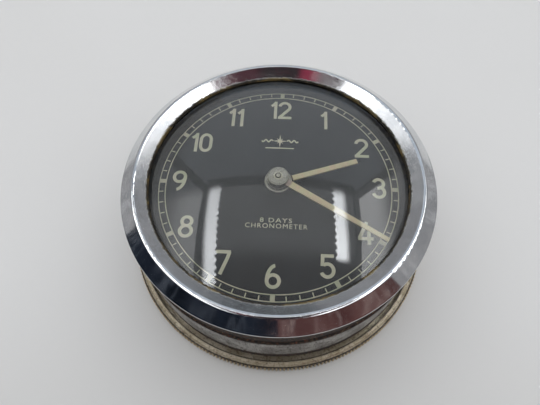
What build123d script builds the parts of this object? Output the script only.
from build123d import *
import os
from math import atan2, cos, degrees, hypot, radians, sin, sqrt

# Eight-day marine chronometer in a drum case with a chromed bezel and a knurled winding back.
# Millimetres. +Z points out of the dial towards the glass, +Y points to 12 o'clock.
# The origin is on the axis of the case, in the plane that the back rests on.

# ---- case, bezel and glass -------------------------------------------------------------------
WALL_R = 39.5
WALL_INNER_R = 37.5
NECK_R = 39.0
CASE_BOTTOM_Z = 4.9
NECK_Z = 19.8
RIM_TOP_Z = 27.9
FLOOR_R = 38.4
FLOOR_Z = (4.2, 5.6)
SKIRT_R = (37.35, 38.3)
SKIRT_BOTTOM_Z = 23.9
SKIRT_SEAT_Z = SKIRT_BOTTOM_Z - 0.3
FLOOR_HOLE_R = 2.4

DIAL_Z = 24.8
DIAL_THICKNESS = 0.8
DIAL_R = 35.2
DIAL_HOLE_R = 1.95
DIAL_RING_R = (33.6, 35.4)
REHAUT_R = (34.3, 34.85, 36.6)
REHAUT_Z = (DIAL_Z + 0.02, DIAL_Z + 2.15)
FOOT_R = 0.8
FOOT_ORBIT = 29.0
FOOT_ANGLES = (65, 155, 245)

GLASS_R = 35.9
GLASS_SPHERE_R = 135.7
GLASS_THICKNESS = 1.3
GLASS_TOP_Z = DIAL_Z + 8.4
BEZEL_INNER_R = 33.15
BEZEL_RIDGE_R = 36.4
BEZEL_OUTER_R = 40.0
BEZEL_RIDGE_Z = DIAL_Z + 6.95
RIDGE_FILLET = 0.9
BEZEL_UNDER_Z = DIAL_Z + 2.2
LIP_R, LIP_Z = 39.7, DIAL_Z + 3.3

# ---- winding back ----------------------------------------------------------------------------
CUP_R = 42.1
KNURL_R = 42.5
KNURL_ROOT_R = 41.95
KNURL_COUNT = 260
CUP_INNER_R = 40.4
CUP_FLOOR = 1.2
BOSS_RECESS_Z = 0.6
CUP_TOP_Z = 4.0
KNURL_Z = (0.5, 3.6)
BOSS_R = 9.0
BOSS_SHOULDER_R = 9.6
BOSS_FLANGE_R = 11.0
BOSS_BORE_R = 6.2
BOSS_SCREW_ORBIT = 7.7
BOSS_SCREW_ANGLES = (30, 150, 270)
BOSS_SCREW_R = 0.6
RING_GEAR_R = 25.5
RING_SCREW_ORBIT = 24.2
RING_SCREW_ANGLES = (45, 135, 225, 315)
RING_SCREW_R = 0.5
ARROW_R = 33.0
ARROW_ANGLES = (-118, -62)
ARROW_HEAD_ANGLE = -124
ENGRAVING = (-1, 0.25)
KNOB_R = 5.7
KNOB_TEETH = 48
KNOB_GRIP_Z = (1.9, 3.2)
KNOB_BAR_Z = (0.45, 2.0)

# ---- movement plates -------------------------------------------------------------------------
PLATE_R = 35.5
BACK_PLATE_Z = (8.0, 9.6)
FRONT_PLATE_Z = (19.4, 21.0)
PILLAR_ORBIT = 31.0
PILLAR_ANGLES = (20, 110, 200, 290)
PILLAR_R = 2.0
MOUNT_ORBIT = 31.0
MOUNT_ANGLES = (60, 180, 300)
MOUNT_BOSS_R = 2.6
MOUNT_SCREW_R = 0.9
PLATE_SCREW_R = 1.0
COCK_SCREW_R = 0.7
JEWEL_R = 0.9
JEWEL_HOLE_R = 0.25
JEWEL_THICKNESS = 0.6
CENTRE_ARBOR_R = 0.8
BARREL_ARBOR_R, BARREL_PIVOT_R = 1.5, 1.0
INTER_PIVOT_R = 0.5
THIRD_PIVOT_R = 0.35
FINE_PIVOT_R = 0.2
POST_R = 0.5
FIT = 0.05

# ---- wheel train: teeth and modules ----------------------------------------------------------
RING_TEETH, WINDING_TEETH, WINDING_MODULE = 88, 22, 0.5
BARREL_TEETH, INTER_LEAVES, BARREL_MODULE = 96, 16, 0.3
INTER_TEETH, CENTRE_LEAVES, INTER_MODULE = 80, 10, 0.22
CENTRE_TEETH, THIRD_LEAVES, CENTRE_MODULE = 80, 10, 0.22
THIRD_TEETH, FOURTH_LEAVES, THIRD_MODULE = 75, 10, 0.22
FOURTH_TEETH, ESCAPE_LEAVES, FOURTH_MODULE = 80, 8, 0.2
CANNON_LEAVES, MINUTE_TEETH, CANNON_MODULE = 12, 36, 0.3
MINUTE_LEAVES, HOUR_TEETH, MINUTE_MODULE = 12, 48, 0.24
RATCHET_TEETH, RATCHET_R, RATCHET_ROOT_R = 24, 5.5, 4.6
CLICK_ORBIT = 9.0
CLICK_BEARING = 200
CLICK_TIP_BEARING = 170
CLICK_PIVOT_R = 0.8
BARREL_SQUARE = 2.0
DRUM_R, DRUM_INNER_R = 13.9, 13.4
ESCAPE_TEETH = 15
ESCAPE_R = 4.5
LEVER_SPAN = 30
BALANCE_R = 7.8
FORK_REACH = 8.0
PIN_ORBIT = 2.0

# Tooth shapes, in modules and in shares of one tooth pitch: addendum, dedendum,
# width at the tip, width at the pitch circle and width at the root.
WHEEL_TOOTH = (0.85, 1.15, 0.16, 0.40, 0.50)
LEAF_TOOTH = (0.80, 1.20, 0.16, 0.36, 0.40)

LOW = (Align.CENTER, Align.CENTER, Align.MIN)


def polar(radius, angle, centre=(0, 0)):
    a = radians(angle)
    return (centre[0] + radius * cos(a), centre[1] + radius * sin(a))


def bearing(start, end):
    return degrees(atan2(end[1] - start[1], end[0] - start[0]))


def centre_distance(teeth, leaves, module):
    return (teeth + leaves) * module / 2


# ---- where the arbors stand ------------------------------------------------------------------
BARREL_ANGLE = 150
BARREL_ORBIT = (RING_TEETH - WINDING_TEETH) * WINDING_MODULE / 2
INTER_ANGLE = 75.63
THIRD_ANGLE = -60
FOURTH_ANGLE = 20
ESCAPE_ANGLE = 60
LEVER_ANGLE = 105
MINUTE_WHEEL_ANGLE = 250

CENTRE = (0, 0)
BARREL = polar(BARREL_ORBIT, BARREL_ANGLE)
INTER = polar(centre_distance(INTER_TEETH, CENTRE_LEAVES, INTER_MODULE), INTER_ANGLE)
THIRD = polar(centre_distance(CENTRE_TEETH, THIRD_LEAVES, CENTRE_MODULE), THIRD_ANGLE)
FOURTH = polar(centre_distance(THIRD_TEETH, FOURTH_LEAVES, THIRD_MODULE), FOURTH_ANGLE, THIRD)
ESCAPE = polar(centre_distance(FOURTH_TEETH, ESCAPE_LEAVES, FOURTH_MODULE), ESCAPE_ANGLE, FOURTH)
LEVER = polar(ESCAPE_R / cos(radians(LEVER_SPAN)), LEVER_ANGLE, ESCAPE)
BALANCE = polar(FORK_REACH + PIN_ORBIT, LEVER_ANGLE, LEVER)
MINUTE_WHEEL = polar(centre_distance(MINUTE_TEETH, CANNON_LEAVES, CANNON_MODULE), MINUTE_WHEEL_ANGLE)

INTER_TO_BARREL = bearing(INTER, BARREL)
COCK_ANGLE = bearing(CENTRE, BALANCE)

# ---- heights of the wheels -------------------------------------------------------------------
WINDING_Z = (1.7, 3.3)
RING_GEAR_Z = (CUP_FLOOR, 3.5)
RATCHET_Z = (6.1, 7.1)
CLICK_Z = (6.2, 7.0)
CENTRE_WHEEL_Z = (10.2, 10.9)
BARREL_GEAR_Z = (11.4, 12.6)
BARREL_TOP_Z = 16.9
COVER_Z = (16.3, BARREL_TOP_Z)
ESCAPE_WHEEL_Z = (11.3, 11.8)
LEVER_Z = (11.4, 11.9)
LEVER_HUB_TOP_Z = 12.5
ROLLER_Z = (12.3, 12.8)
THIRD_WHEEL_Z = (13.2, 13.8)
BALANCE_Z = (13.4, 14.2)
HAIRSPRING_Z = (15.0, 15.35)
FOURTH_WHEEL_Z = (15.8, 16.4)
COCK_Z = (16.2, 17.6)
INTER_WHEEL_Z = (17.5, 18.3)
MINUTE_WHEEL_Z = (21.35, 21.95)
HOUR_WHEEL_Z = (22.35, 22.95)

# ---- hands -----------------------------------------------------------------------------------
HOUR_HUB_R, HOUR_HUB_Z = 3.5, (DIAL_Z + 2.0, DIAL_Z + 2.8)
MINUTE_HUB_R, MINUTE_HUB_Z = 2.7, (DIAL_Z + 4.1, DIAL_Z + 4.9)
HOUR_HAND_REACH = 21.7
MINUTE_HAND_REACH = 31.3
HOUR_HAND_ANGLE = 90 - 70.5
MINUTE_HAND_ANGLE = 90 - 120
BLADE = 0.4
MINUTE_HAND_DROP = 1.1


# ---- helpers ---------------------------------------------------------------------------------
def rod(radius, z_range, at=CENTRE):
    return Pos(at[0], at[1], z_range[0]) * Cylinder(radius, z_range[1] - z_range[0], align=LOW)


def tube(outer, inner, z_range, at=CENTRE):
    longer = (z_range[0] - 1, z_range[1] + 1)
    return rod(outer, z_range, at) - rod(inner, longer, at)


def prism(points, z_range):
    face = make_face(Polyline(*points, close=True))
    return Pos(0, 0, z_range[0]) * extrude(face, amount=z_range[1] - z_range[0], dir=(0, 0, 1))


def turned(points):
    return revolve(Plane.XZ * make_face(Polyline(*points, close=True)), axis=Axis.Z)


def bar(x_range, width, z_range, angle=0, at=CENTRE):
    half = width / 2
    x0, x1 = x_range
    flat = prism([(x0, -half), (x1, -half), (x1, half), (x0, half)], z_range)
    return Pos(at[0], at[1], 0) * Rot(0, 0, angle) * flat


def stepped(sections, at=CENTRE):
    """A turned arbor from (radius, low z, high z) sections, listed from the bottom up."""
    solid = None
    for radius, low, high in sections:
        piece = rod(radius, (low, high), at)
        solid = piece if solid is None else solid + piece
    return solid


def tooth_ring(teeth, module, shape, turn, inward=False):
    """The outline of a gear: four points to a tooth root and two to its tip."""
    addendum, dedendum, tip, middle, root = shape
    side = -1 if inward else 1
    pitch_r = teeth * module / 2
    tip_r = pitch_r + side * addendum * module
    root_r = pitch_r - side * dedendum * module
    flank = ((root_r, root), (pitch_r, middle), (tip_r, tip))
    outline = []
    for k in range(teeth):
        axis = turn + 360 * k / teeth
        outline += [polar(r, axis - 180 * share / teeth) for r, share in flank]
        outline += [polar(r, axis + 180 * share / teeth) for r, share in reversed(flank)]
    return outline


def leaves(count, module, turn, z_range, at):
    """A solid pinion whose leaf axis points at the angle turn."""
    return Pos(at[0], at[1], 0) * prism(tooth_ring(count, module, LEAF_TOOTH, turn), z_range)


def wheel(teeth, module, turn, z_range, at, bore, hub_r, rim, spokes):
    """A crossed-out wheel whose tooth axis points at the angle turn."""
    blank = prism(tooth_ring(teeth, module, WHEEL_TOOTH, turn), z_range)
    root_r = teeth * module / 2 - WHEEL_TOOTH[1] * module
    window_r = root_r - rim
    cut = (z_range[0] - 1, z_range[1] + 1)
    window = tube(window_r, hub_r, cut)
    for k in range(spokes):
        window -= bar((0, window_r + 1), 0.09 * window_r + 0.3, cut, turn + 360 * k / spokes)
    return Pos(at[0], at[1], 0) * (blank - window - rod(bore, cut))


def facing_gap(direction, leaf_count):
    """The turn that puts a gap between leaves at the given direction."""
    return direction + 180 / leaf_count


def spiral(inner_r, outer_r, strip, turns, end_angle, z_range, at):
    """A flat spiral strip that ends at end_angle on its outer coil."""
    steps = int(turns * 20)
    grow = (outer_r - inner_r) / steps
    start = end_angle - 360 * turns
    inside = []
    outside = []
    for k in range(steps + 1):
        angle = start + 18 * k
        radius = inner_r + grow * k
        inside.append(polar(radius, angle))
        outside.append(polar(radius + strip, angle))
    return Pos(at[0], at[1], 0) * prism(inside + outside[::-1], z_range)


def cheese_screw(head_r, head_z, shank_r, shank_z, at, slot_angle=0, slot_up=True):
    """A screw along Z with a slotted flat head."""
    depth = 0.35 * (head_z[1] - head_z[0])
    screw = rod(head_r, head_z, at) + rod(shank_r, shank_z, at)
    if slot_up:
        slot_z = (head_z[1] - depth, head_z[1] + 1)
    else:
        slot_z = (head_z[0] - 1, head_z[0] + depth)
    return screw - bar((-2 * head_r, 2 * head_r), 0.28 * head_r, slot_z, slot_angle, at)


def save(name, *solids):
    shape = solids[0] if len(solids) == 1 else Compound(children=list(solids))
    shape.label = name
    export_step(shape, "parts/" + name + ".step")


def glass_height(radius, depth=0.0):
    """Height of the glass surface, or of the surface depth below it, at a radius."""
    sphere = GLASS_SPHERE_R - depth
    return GLASS_TOP_Z - GLASS_SPHERE_R + sqrt(sphere * sphere - radius * radius)


# ---- case, bezel, glass and dial -------------------------------------------------------------
def case_body():
    outline = [
        (0, FLOOR_Z[0]), (FLOOR_R, FLOOR_Z[0]), (FLOOR_R, CASE_BOTTOM_Z),
        (WALL_R - 0.25, CASE_BOTTOM_Z), (WALL_R, CASE_BOTTOM_Z + 0.25),
        (WALL_R, NECK_Z - 0.5), (NECK_R, NECK_Z), (NECK_R, RIM_TOP_Z),
        (SKIRT_R[1] + FIT, RIM_TOP_Z), (SKIRT_R[1] + FIT, SKIRT_SEAT_Z),
        (WALL_INNER_R, SKIRT_SEAT_Z), (WALL_INNER_R, FLOOR_Z[1]), (0, FLOOR_Z[1]),
    ]
    body = turned(outline)
    through = (FLOOR_Z[0] - 1, BACK_PLATE_Z[0] + 1)
    for angle in MOUNT_ANGLES:
        at = polar(MOUNT_ORBIT, angle)
        body += rod(MOUNT_BOSS_R, (FLOOR_Z[1] - 0.2, BACK_PLATE_Z[0]), at)
        body -= rod(MOUNT_SCREW_R + 0.2, through, at)
    body -= rod(FLOOR_HOLE_R, through)
    body -= rod(FLOOR_HOLE_R, through, BARREL)
    for angle in BOSS_SCREW_ANGLES:
        body -= rod(BOSS_SCREW_R, through, polar(BOSS_SCREW_ORBIT, angle))
    return body


def bezel():
    """Two sloping faces that meet at a round ridge, a thin rolled lip, and a skirt inside the case."""
    rolled = BEZEL_OUTER_R - 0.08
    outline = [
        (BEZEL_INNER_R, DIAL_Z + 4.85), (BEZEL_RIDGE_R, BEZEL_RIDGE_Z), (LIP_R, LIP_Z + 0.75),
        (rolled, LIP_Z + 0.57), (BEZEL_OUTER_R, LIP_Z + 0.38), (rolled, LIP_Z + 0.15),
        (LIP_R, LIP_Z), (SKIRT_R[1], LIP_Z),
        (SKIRT_R[1], SKIRT_BOTTOM_Z), (SKIRT_R[0], SKIRT_BOTTOM_Z), (SKIRT_R[0], BEZEL_UNDER_Z),
        (GLASS_R + 0.2, BEZEL_UNDER_Z), (GLASS_R + 0.2, DIAL_Z + 3.95),
        (BEZEL_INNER_R + 0.05, DIAL_Z + 4.65),
    ]
    face = make_face(Polyline(*outline, close=True))
    ridge = face.vertices().sort_by(Axis.Y)[-1]
    face = fillet(ridge, RIDGE_FILLET)
    return revolve(Plane.XZ * face, axis=Axis.Z)


def glass():
    middle = GLASS_TOP_Z - GLASS_SPHERE_R
    shell = Sphere(GLASS_SPHERE_R) - Sphere(GLASS_SPHERE_R - GLASS_THICKNESS)
    return (Pos(0, 0, middle) * shell) & rod(GLASS_R, (DIAL_Z, GLASS_TOP_Z + 1))


def glass_gasket():
    inner, outer = BEZEL_INNER_R - 0.3, GLASS_R - 0.3
    outline = [
        (inner, glass_height(inner) + 0.02), (outer, glass_height(outer) + 0.02),
        (outer, DIAL_Z + 4.0), (BEZEL_INNER_R + 0.1, DIAL_Z + 4.55), (inner, DIAL_Z + 4.6),
    ]
    return turned(outline)


def rehaut_ring():
    lip, inner, outer = REHAUT_R
    low, high = REHAUT_Z
    return turned([(inner, low), (outer, low), (outer, high), (lip, high)])


def dial():
    plate = tube(DIAL_R, DIAL_HOLE_R, (DIAL_Z - DIAL_THICKNESS, DIAL_Z))
    for angle in FOOT_ANGLES:
        foot = (FRONT_PLATE_Z[0] + 0.5, DIAL_Z - DIAL_THICKNESS / 2)
        plate += rod(FOOT_R, foot, polar(FOOT_ORBIT, angle))
    return plate


def dial_ring():
    return tube(DIAL_RING_R[1], DIAL_RING_R[0], (FRONT_PLATE_Z[1], DIAL_Z - DIAL_THICKNESS))


# ---- winding back and setting knob -----------------------------------------------------------
def winding_back():
    knurl = []
    for k in range(KNURL_COUNT):
        angle = 360 * k / KNURL_COUNT
        knurl += [polar(KNURL_ROOT_R, angle), polar(KNURL_R, angle + 180 / KNURL_COUNT)]
    outline = [
        (BOSS_R + FIT, BOSS_RECESS_Z), (BOSS_FLANGE_R + 0.3, BOSS_RECESS_Z),
        (BOSS_FLANGE_R + 0.3, 0), (CUP_R - 0.8, 0),
        (CUP_R - 0.3, KNURL_Z[0]), (CUP_R - 0.3, KNURL_Z[1]), (CUP_R - 0.7, CUP_TOP_Z),
        (CUP_INNER_R, CUP_TOP_Z), (CUP_INNER_R, CUP_FLOOR), (BOSS_R + FIT, CUP_FLOOR),
    ]
    cup = turned(outline)
    cup += prism(knurl, KNURL_Z) - rod(CUP_R - 0.6, (-1, 5))
    for angle in RING_SCREW_ANGLES:
        at = polar(RING_SCREW_ORBIT, angle)
        cup -= rod(0.95, (-1, 0.65), at)
        cup -= rod(RING_SCREW_R + 0.02, (-1, 3), at)
    return cup - winding_arrow()


def winding_arrow():
    """The engraved arrow that shows which way to turn the back."""
    first, last = ARROW_ANGLES
    wedge = prism([CENTRE, polar(60, first), polar(60, last)], ENGRAVING)
    shaft = tube(ARROW_R + 0.5, ARROW_R - 0.5, ENGRAVING) & wedge
    barbs = [polar(ARROW_R - 1.9, first), polar(ARROW_R + 1.9, first)]
    return shaft + prism(barbs + [polar(ARROW_R, ARROW_HEAD_ANGLE)], ENGRAVING)


def ring_gear():
    gap = facing_gap(BARREL_ANGLE, RING_TEETH)
    hollow = prism(tooth_ring(RING_TEETH, WINDING_MODULE, WHEEL_TOOTH, gap, inward=True), (0, 5))
    ring = rod(RING_GEAR_R, RING_GEAR_Z) - hollow
    for angle in RING_SCREW_ANGLES:
        ring -= rod(RING_SCREW_R, (0, 2.9), polar(RING_SCREW_ORBIT, angle))
    return ring


def ring_gear_screws():
    screws = []
    for angle in RING_SCREW_ANGLES:
        at = polar(RING_SCREW_ORBIT, angle)
        shank = (BOSS_RECESS_Z, 2.8)
        screws.append(cheese_screw(0.9, (0.1, 0.65), RING_SCREW_R, shank, at, angle + 90, slot_up=False))
    return screws


def back_boss():
    flange_top, shoulder = BOSS_RECESS_Z - FIT, CUP_FLOOR + FIT
    sections = [
        (BOSS_FLANGE_R, 0.15, flange_top), (BOSS_R, flange_top, shoulder),
        (BOSS_SHOULDER_R, shoulder, FLOOR_Z[0]),
    ]
    boss = stepped(sections)
    boss -= rod(BOSS_BORE_R, (-1, FLOOR_Z[0] + 1))
    for angle in BOSS_SCREW_ANGLES:
        at = polar(BOSS_SCREW_ORBIT, angle)
        boss -= rod(1.05, (-1, 1.0), at)
        boss -= rod(BOSS_SCREW_R + 0.02, (-1, FLOOR_Z[0] + 1), at)
    return boss


def boss_screws():
    screws = []
    for angle in BOSS_SCREW_ANGLES:
        at = polar(BOSS_SCREW_ORBIT, angle)
        shank = (0.9, FLOOR_Z[1])
        screws.append(cheese_screw(1.0, (0.25, 1.0), BOSS_SCREW_R, shank, at, angle, slot_up=False))
    return screws


def set_knob():
    grip = []
    for k in range(KNOB_TEETH):
        angle = 360 * k / KNOB_TEETH
        grip += [polar(KNOB_R - 0.2, angle), polar(KNOB_R, angle + 180 / KNOB_TEETH)]
    knob = prism(grip, KNOB_GRIP_Z) + rod(1.9, (KNOB_GRIP_Z[1], 4.0))
    knob += bar((-5.0, 5.0), 1.7, KNOB_BAR_Z)
    knob -= rod(CENTRE_ARBOR_R + 0.01, (1.3, 5))
    knob -= rod(0.42, (0, 2))
    return knob - rod(0.75, (0, 0.9))


def knob_screw():
    return cheese_screw(0.7, (0.5, 0.9), 0.4, (0.85, 3.4), CENTRE, 30, slot_up=False)


# ---- plates, pillars and their screws --------------------------------------------------------
def drill_plate(plate, z_range, jewelled, plain):
    through = (z_range[0] - 1, z_range[1] + 1)
    for at in jewelled:
        plate -= rod(JEWEL_R, through, at)
    for radius, at in plain:
        plate -= rod(radius + FIT, through, at)
    return plate


def back_plate():
    plain = [
        (CENTRE_ARBOR_R, CENTRE), (BARREL_ARBOR_R, BARREL), (INTER_PIVOT_R, INTER), (THIRD_PIVOT_R, THIRD),
    ]
    plate = drill_plate(rod(PLATE_R, BACK_PLATE_Z), BACK_PLATE_Z, [FOURTH, ESCAPE, LEVER, BALANCE], plain)
    through = (BACK_PLATE_Z[0] - 1, BACK_PLATE_Z[1] + 1)
    for angle in PILLAR_ANGLES:
        plate -= rod(PLATE_SCREW_R, through, polar(PILLAR_ORBIT, angle))
    for angle in MOUNT_ANGLES:
        plate -= rod(MOUNT_SCREW_R, through, polar(MOUNT_ORBIT, angle))
    plate -= rod(CLICK_PIVOT_R, through, click_pivot())
    plate -= rod(0.3, through, spring_pin())
    for side in (-1, 1):
        plate -= rod(COCK_SCREW_R, (BACK_PLATE_Z[0] + 0.3, through[1]), cock_screw_place(side))
    return plate


def front_plate():
    plain = [
        (CENTRE_ARBOR_R, CENTRE), (BARREL_PIVOT_R, BARREL), (INTER_PIVOT_R, INTER), (THIRD_PIVOT_R, THIRD),
    ]
    plate = drill_plate(rod(PLATE_R, FRONT_PLATE_Z), FRONT_PLATE_Z, [FOURTH, ESCAPE, LEVER], plain)
    through = (FRONT_PLATE_Z[0] - 1, FRONT_PLATE_Z[1] + 1)
    for angle in PILLAR_ANGLES:
        plate -= rod(PLATE_SCREW_R + FIT, through, polar(PILLAR_ORBIT, angle))
    for angle in FOOT_ANGLES:
        plate -= rod(FOOT_R + FIT, through, polar(FOOT_ORBIT, angle))
    return plate - rod(POST_R, through, MINUTE_WHEEL)


def plate_pillars():
    pillars = []
    for angle in PILLAR_ANGLES:
        at = polar(PILLAR_ORBIT, angle)
        pillar = stepped([(0.98, 8.3, BACK_PLATE_Z[1]), (PILLAR_R, BACK_PLATE_Z[1], FRONT_PLATE_Z[0])], at)
        pillar -= tube(PILLAR_R + 1, PILLAR_R - 0.5, (12.5, 16.5), at)
        pillars.append(pillar - rod(PLATE_SCREW_R, (15.0, 20.0), at))
    return pillars


def plate_screws():
    screws = []
    for angle in PILLAR_ANGLES:
        at = polar(PILLAR_ORBIT, angle)
        head = (FRONT_PLATE_Z[1], FRONT_PLATE_Z[1] + 1.1)
        screws.append(cheese_screw(1.8, head, PLATE_SCREW_R, (15.6, head[0] + 0.1), at, 37 * angle))
    return screws


def movement_screws():
    screws = []
    head = (3.2, FLOOR_Z[0])
    shank = (FLOOR_Z[0] - 0.1, 9.3)
    for angle in MOUNT_ANGLES:
        at = polar(MOUNT_ORBIT, angle)
        screws.append(cheese_screw(1.7, head, MOUNT_SCREW_R, shank, at, angle, slot_up=False))
    return screws


def jewels():
    back = (BACK_PLATE_Z[1] - JEWEL_THICKNESS, BACK_PLATE_Z[1])
    front = (FRONT_PLATE_Z[0], FRONT_PLATE_Z[0] + JEWEL_THICKNESS)
    cock = (COCK_Z[0], COCK_Z[0] + JEWEL_THICKNESS)
    places = [(at, back) for at in (FOURTH, ESCAPE, LEVER, BALANCE)]
    places += [(at, front) for at in (FOURTH, ESCAPE, LEVER)]
    places.append((BALANCE, cock))
    return [tube(JEWEL_R - 0.01, JEWEL_HOLE_R, z_range, at) for at, z_range in places]


# ---- barrel, ratchet and click ---------------------------------------------------------------
def barrel_drum():
    teeth = tooth_ring(BARREL_TEETH, BARREL_MODULE, WHEEL_TOOTH, INTER_TO_BARREL + 180)
    gear = Pos(BARREL[0], BARREL[1], 0) * prism(teeth, BARREL_GEAR_Z)
    drum = gear + rod(DRUM_R, (BARREL_GEAR_Z[0], BARREL_TOP_Z), BARREL)
    drum -= rod(DRUM_INNER_R, (12.0, BARREL_TOP_Z + 1), BARREL)
    return drum - rod(BARREL_ARBOR_R + FIT, (0, 13), BARREL)


def barrel_cover():
    return tube(DRUM_INNER_R - 0.02, 1.25, COVER_Z, BARREL)


def mainspring():
    coil_z = (12.3, COVER_Z[0] - 0.3)
    return spiral(3.8, 12.9, 0.3, 11, 0, coil_z, BARREL)


def barrel_arbor():
    half = BARREL_SQUARE / 2
    square = bar((-half, half), BARREL_SQUARE, (WINDING_Z[0] - 0.1, 7.7), 0, BARREL)
    round_parts = [
        (BARREL_ARBOR_R, 7.6, 12.1), (3.2, 12.1, 16.2), (1.2, 16.2, 19.3), (BARREL_PIVOT_R, 19.3, 20.8),
    ]
    return stepped(round_parts, BARREL) + square


def square_hole():
    """The hole that fits the square of the barrel arbor."""
    half = BARREL_SQUARE / 2 + 0.01
    return bar((-half, half), 2 * half, (0, 9), 0, BARREL)


def winding_pinion():
    pinion = leaves(WINDING_TEETH, WINDING_MODULE, BARREL_ANGLE, WINDING_Z, BARREL)
    return pinion - square_hole()


def ratchet_wheel():
    """Saw teeth with their steep faces looking anticlockwise, one of them beside the click tip."""
    outline = []
    for k in range(RATCHET_TEETH):
        axis = CLICK_TIP_BEARING - 0.3 + 360 * k / RATCHET_TEETH
        outline += [polar(RATCHET_R, axis - 0.5), polar(RATCHET_ROOT_R, axis)]
    blank = Pos(BARREL[0], BARREL[1], 0) * prism(outline, RATCHET_Z)
    return blank - square_hole()


def click_pivot():
    return polar(CLICK_ORBIT, CLICK_BEARING, BARREL)


def click_place(along, across):
    """A point measured from the click's pivot, along the line to its tip and to the left of it."""
    pivot = click_pivot()
    heading = bearing(pivot, click_tip())
    return polar(across, heading + 90, polar(along, heading, pivot))


def click_tip():
    return polar(RATCHET_R + 0.06, CLICK_TIP_BEARING, BARREL)


def click():
    """A pawl whose tip stands just clear of the ratchet and drops into a gap when it turns in."""
    reach = hypot(click_tip()[0] - click_pivot()[0], click_tip()[1] - click_pivot()[1])
    corners = (
        (reach, 0), (reach - 1.3, 0.75), (0, 1.3), (-3.2, 1.0),
        (-3.2, 0.2), (0, -1.2), (reach - 1.4, -0.15),
    )
    pawl = prism([click_place(a, b) for a, b in corners], CLICK_Z) + rod(1.7, CLICK_Z, click_pivot())
    return pawl - rod(CLICK_PIVOT_R + FIT, (0, 9), click_pivot())


def click_screw():
    at = click_pivot()
    return cheese_screw(1.4, (5.75, 6.15), CLICK_PIVOT_R, (6.1, 9.2), at, 20, slot_up=False)


def spring_pin():
    return click_place(-3.5, 3.0)


def click_spring():
    """A bent wire from its pin in the plate to a free end above the nose of the click."""
    wire_z = (6.45, 6.75)
    path = [spring_pin(), click_place(1.0, 2.7), click_place(3.0, 1.45)]
    wire = rod(0.29, (wire_z[0], 9.4), path[0])
    for start, end in zip(path, path[1:]):
        length = hypot(end[0] - start[0], end[1] - start[1])
        wire += bar((0, length), 0.3, wire_z, bearing(start, end), start)
        wire += rod(0.15, wire_z, end)
    return wire


# ---- going train -----------------------------------------------------------------------------
def plain_arbor(at, body_r, pivot_r):
    ends = [(pivot_r, 8.4, 9.8), (body_r, 9.8, 19.2), (pivot_r, 19.2, 20.6)]
    return stepped(ends, at)


def intermediate_arbor():
    turn = facing_gap(INTER_TO_BARREL, INTER_LEAVES)
    pinion = leaves(INTER_LEAVES, BARREL_MODULE, turn, (11.2, 12.9), INTER)
    return plain_arbor(INTER, 0.8, INTER_PIVOT_R) + pinion


def intermediate_wheel():
    return wheel(INTER_TEETH, INTER_MODULE, INTER_ANGLE + 180, INTER_WHEEL_Z, INTER, 0.81, 2.0, 1.0, 5)


def centre_arbor():
    pinion_turn = facing_gap(INTER_ANGLE, CENTRE_LEAVES)
    shaft = rod(CENTRE_ARBOR_R, (KNOB_BAR_Z[0] + 1.5, MINUTE_HUB_Z[1] + 0.12))
    shaft += leaves(CENTRE_LEAVES, INTER_MODULE, pinion_turn, (17.3, 18.6), CENTRE)
    return shaft - rod(0.4, (1, 3.6))


def centre_wheel():
    bore = CENTRE_ARBOR_R + 0.01
    return wheel(CENTRE_TEETH, CENTRE_MODULE, THIRD_ANGLE, CENTRE_WHEEL_Z, CENTRE, bore, 2.0, 0.9, 5)


def third_arbor():
    turn = facing_gap(THIRD_ANGLE + 180, THIRD_LEAVES)
    pinion = leaves(THIRD_LEAVES, CENTRE_MODULE, turn, (10.0, 11.1), THIRD)
    return plain_arbor(THIRD, 0.6, THIRD_PIVOT_R) + pinion


def third_wheel():
    return wheel(THIRD_TEETH, THIRD_MODULE, FOURTH_ANGLE, THIRD_WHEEL_Z, THIRD, 0.61, 1.6, 0.9, 5)


def fourth_arbor():
    turn = facing_gap(FOURTH_ANGLE + 180, FOURTH_LEAVES)
    pinion = leaves(FOURTH_LEAVES, THIRD_MODULE, turn, (13.0, 14.1), FOURTH)
    return plain_arbor(FOURTH, 0.5, FINE_PIVOT_R) + pinion


def fourth_wheel():
    return wheel(FOURTH_TEETH, FOURTH_MODULE, ESCAPE_ANGLE, FOURTH_WHEEL_Z, FOURTH, 0.51, 1.5, 0.9, 5)


# ---- escapement and balance ------------------------------------------------------------------
def escape_arbor():
    turn = facing_gap(ESCAPE_ANGLE + 180, ESCAPE_LEAVES)
    pinion = leaves(ESCAPE_LEAVES, FOURTH_MODULE, turn, (15.5, 16.7), ESCAPE)
    return plain_arbor(ESCAPE, 0.45, FINE_PIVOT_R) + pinion


def escape_wheel():
    outline = []
    quarter = 90 / ESCAPE_TEETH
    for k in range(ESCAPE_TEETH):
        axis = LEVER_ANGLE + LEVER_SPAN + quarter + 360 * k / ESCAPE_TEETH
        outline += [polar(3.4, axis - 1.0), polar(ESCAPE_R, axis - 1.2), polar(ESCAPE_R, axis + 1.2)]
        outline += [polar(3.9, axis + 5.0), polar(3.4, axis + 9.0)]
    blank = prism(outline, ESCAPE_WHEEL_Z)
    cut = (ESCAPE_WHEEL_Z[0] - 1, ESCAPE_WHEEL_Z[1] + 1)
    window = tube(2.9, 1.2, cut)
    for k in range(4):
        window -= bar((0, 4), 0.45, cut, 90 * k)
    return Pos(ESCAPE[0], ESCAPE[1], 0) * (blank - window - rod(0.46, cut))


def stone(side, grow=0.0):
    width = 0.32 + 2 * grow
    z_range = (LEVER_Z[0] - 0.25, LEVER_Z[1] + 0.15)
    return bar((ESCAPE_R + 0.06, 5.55), width, z_range, LEVER_ANGLE + side * LEVER_SPAN, ESCAPE)


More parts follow.
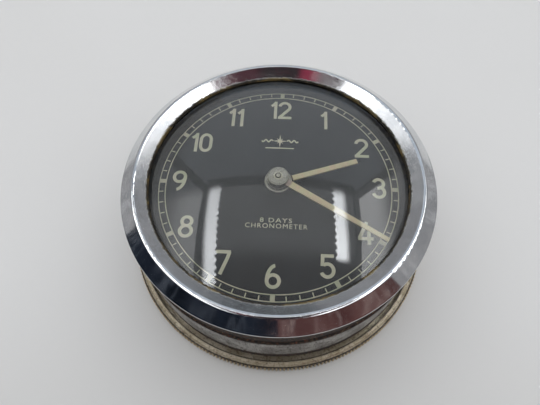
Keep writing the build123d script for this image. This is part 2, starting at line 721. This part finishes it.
def pallet_lever():
    """The anchor and fork lie beside the escape wheel, and the hub stands above its teeth."""
    anchor = tube(6.0, 5.0, LEVER_Z)
    keep = prism([CENTRE, polar(12, -LEVER_SPAN - 6), polar(12, LEVER_SPAN + 6)], (0, 20))
    anchor = Pos(ESCAPE[0], ESCAPE[1], 0) * Rot(0, 0, LEVER_ANGLE) * (anchor & keep)
    shank = bar((-0.4, 7.3), 0.8, LEVER_Z) + rod(1.1, (LEVER_Z[0], LEVER_HUB_TOP_Z))
    fork = bar((6.6, 8.6), 1.9, LEVER_Z) - bar((7.3, 9.0), 0.8, LEVER_Z)
    arm = Pos(LEVER[0], LEVER[1], 0) * Rot(0, 0, LEVER_ANGLE) * (shank + fork)
    lever = anchor + arm
    lever -= rod(ESCAPE_R + 0.12, (0, LEVER_Z[1] + 0.05), ESCAPE)
    for side in (-1, 1):
        lever -= stone(side, 0.01)
    return lever - rod(0.41, (0, 20), LEVER)


def pallet_arbor():
    return plain_arbor(LEVER, 0.4, FINE_PIVOT_R)


def impulse_roller():
    pin = polar(PIN_ORBIT, LEVER_ANGLE + 180, BALANCE)
    table = tube(2.6, 0.51, ROLLER_Z, BALANCE)
    return table + rod(0.25, (LEVER_Z[0] - 0.2, ROLLER_Z[0] + 0.1), pin)


def balance_wheel():
    rim = tube(BALANCE_R, BALANCE_R - 0.9, BALANCE_Z)
    wheel_body = rim + rod(1.3, BALANCE_Z)
    for k in range(3):
        wheel_body += bar((0.8, BALANCE_R - 0.5), 1.1, BALANCE_Z, 120 * k + 15)
    screw = Rot(0, 90, 0) * Cylinder(0.34, 0.6, align=LOW)
    middle = (BALANCE_Z[0] + BALANCE_Z[1]) / 2
    for k in range(18):
        wheel_body += Rot(0, 0, 20 * k) * Pos(BALANCE_R - 0.1, 0, middle) * screw
    return Pos(BALANCE[0], BALANCE[1], 0) * (wheel_body - rod(0.51, (0, 20)))


def balance_staff():
    sections = [
        (FINE_PIVOT_R, 9.05, 9.9), (0.5, 9.9, 14.7), (0.85, 14.7, 15.6), (0.4, 15.6, 16.0),
        (FINE_PIVOT_R, 16.0, 16.75),
    ]
    return stepped(sections, BALANCE)


def hairspring():
    return spiral(1.05, 4.9, 0.12, 8, COCK_ANGLE, HAIRSPRING_Z, BALANCE)


def hairspring_stud():
    return rod(0.45, (HAIRSPRING_Z[0] - 0.1, COCK_Z[0]), polar(5.5, COCK_ANGLE, BALANCE))


def cock_screw_place(side):
    x, y = polar(32.8, COCK_ANGLE)
    return polar(2.0 * side, COCK_ANGLE + 90, (x, y))


def balance_cock():
    x0 = hypot(BALANCE[0], BALANCE[1])
    arm = bar((x0, 34.8), 5.4, COCK_Z) + rod(2.7, COCK_Z, (x0, 0))
    arm += rod(1.5, (COCK_Z[1], 18.15), (x0, 0))
    foot = bar((30.9, 34.8), 7.4, (BACK_PLATE_Z[1], COCK_Z[1]))
    cock = Rot(0, 0, COCK_ANGLE) * (arm + foot)
    cock -= rod(JEWEL_R, (COCK_Z[0] - 1, COCK_Z[0] + JEWEL_THICKNESS), BALANCE)
    for side in (-1, 1):
        cock -= rod(COCK_SCREW_R + 0.02, (0, 20), cock_screw_place(side))
    return cock


def cock_screws():
    screws = []
    for side in (-1, 1):
        head = (COCK_Z[1], COCK_Z[1] + 0.9)
        at = cock_screw_place(side)
        shank = (BACK_PLATE_Z[0] + 0.4, head[0] + 0.1)
        screws.append(cheese_screw(1.2, head, COCK_SCREW_R, shank, at, 60 * side))
    return screws


def regulator():
    ring = tube(2.4, 1.5 + FIT, (COCK_Z[1] + 0.05, COCK_Z[1] + 0.45), BALANCE)
    tail = bar((2.0, 6.4), 0.7, (COCK_Z[1] + 0.05, COCK_Z[1] + 0.45), COCK_ANGLE + 90, BALANCE)
    return ring + tail


# ---- motion works and hands ------------------------------------------------------------------
def cannon_pinion():
    turn = facing_gap(MINUTE_WHEEL_ANGLE, CANNON_LEAVES)
    cannon = leaves(CANNON_LEAVES, CANNON_MODULE, turn, (21.2, 22.1), CENTRE)
    cannon += rod(1.2, (21.2, MINUTE_HUB_Z[1]))
    return cannon - rod(CENTRE_ARBOR_R + 0.01, (20, 32))


def minute_wheel():
    turn = MINUTE_WHEEL_ANGLE + 180
    bore = POST_R + FIT
    body = wheel(MINUTE_TEETH, CANNON_MODULE, turn, MINUTE_WHEEL_Z, MINUTE_WHEEL, bore, 1.7, 0.9, 4)
    pinion_turn = facing_gap(turn, MINUTE_LEAVES)
    pinion = leaves(MINUTE_LEAVES, MINUTE_MODULE, pinion_turn, (MINUTE_WHEEL_Z[1], 23.1), MINUTE_WHEEL)
    return body + (pinion - rod(bore, (20, 25), MINUTE_WHEEL))


def minute_post():
    return stepped([(POST_R, 20.0, 23.3), (0.9, 23.3, 23.6)], MINUTE_WHEEL)


def hour_wheel():
    body = wheel(HOUR_TEETH, MINUTE_MODULE, MINUTE_WHEEL_ANGLE, HOUR_WHEEL_Z, CENTRE, 1.25, 2.4, 0.9, 4)
    return body + tube(1.65, 1.25, (HOUR_WHEEL_Z[0], HOUR_HUB_Z[1]))


def hub_disc(radius, bore, z_range):
    top = z_range[1]
    outline = [
        (bore, z_range[0]), (radius - 0.1, z_range[0]), (radius, z_range[0] + 0.1),
        (radius, top - 0.25), (radius - 0.25, top), (bore, top),
    ]
    return turned(outline)


def hour_hub():
    return hub_disc(HOUR_HUB_R, 1.66, HOUR_HUB_Z)


def minute_hub():
    return hub_disc(MINUTE_HUB_R, 1.21, MINUTE_HUB_Z)


def blade(reach, root_width, tip_width, eye_r, bore, top_z, drop, angle):
    """A flat baton with a round eye, sloping down towards its tip by drop."""
    root, tip = root_width / 2, tip_width / 2
    tall = (top_z - drop - 2, top_z + 2)
    plan = prism([(1.0, -root), (reach, -tip), (reach, tip), (1.0, root)], tall)
    plan = plan + rod(eye_r, tall) - rod(bore, (tall[0] - 1, tall[1] + 1))
    side = [
        (-eye_r - 1, top_z - BLADE), (eye_r, top_z - BLADE), (reach + 1, top_z - BLADE - drop),
        (reach + 1, top_z - drop), (eye_r, top_z), (-eye_r - 1, top_z),
    ]
    profile = extrude(Plane.XZ * make_face(Polyline(*side, close=True)), amount=6, both=True)
    return Rot(0, 0, angle) * (plan & profile)


def hour_hand():
    return blade(HOUR_HAND_REACH, 1.5, 1.35, 3.1, 1.66, HOUR_HUB_Z[0], 0.0, HOUR_HAND_ANGLE)


def minute_hand():
    top = MINUTE_HUB_Z[0]
    return blade(MINUTE_HAND_REACH, 1.8, 1.05, 2.35, 1.21, top, MINUTE_HAND_DROP, MINUTE_HAND_ANGLE)


SINGLE_PARTS = (
    case_body, bezel, glass, glass_gasket, rehaut_ring, dial, dial_ring, winding_back, ring_gear,
    back_boss, set_knob, knob_screw, back_plate, front_plate, barrel_drum, barrel_cover, mainspring,
    barrel_arbor, winding_pinion, ratchet_wheel, click, click_screw, click_spring, intermediate_arbor,
    intermediate_wheel, centre_arbor, centre_wheel, third_arbor, third_wheel, fourth_arbor,
    fourth_wheel, escape_arbor, escape_wheel, pallet_lever, pallet_arbor, impulse_roller,
    balance_wheel, balance_staff, hairspring, hairspring_stud, balance_cock, regulator,
    cannon_pinion, minute_wheel, minute_post, hour_wheel, hour_hub, minute_hub, hour_hand, minute_hand,
)
GROUPED_PARTS = (
    ring_gear_screws, boss_screws, plate_pillars, plate_screws, movement_screws, jewels, cock_screws,
)

os.makedirs("parts", exist_ok=True)
for make in SINGLE_PARTS:
    save(make.__name__, make())
for make in GROUPED_PARTS:
    save(make.__name__, *make())
save("pallet_stones", stone(-1), stone(1))
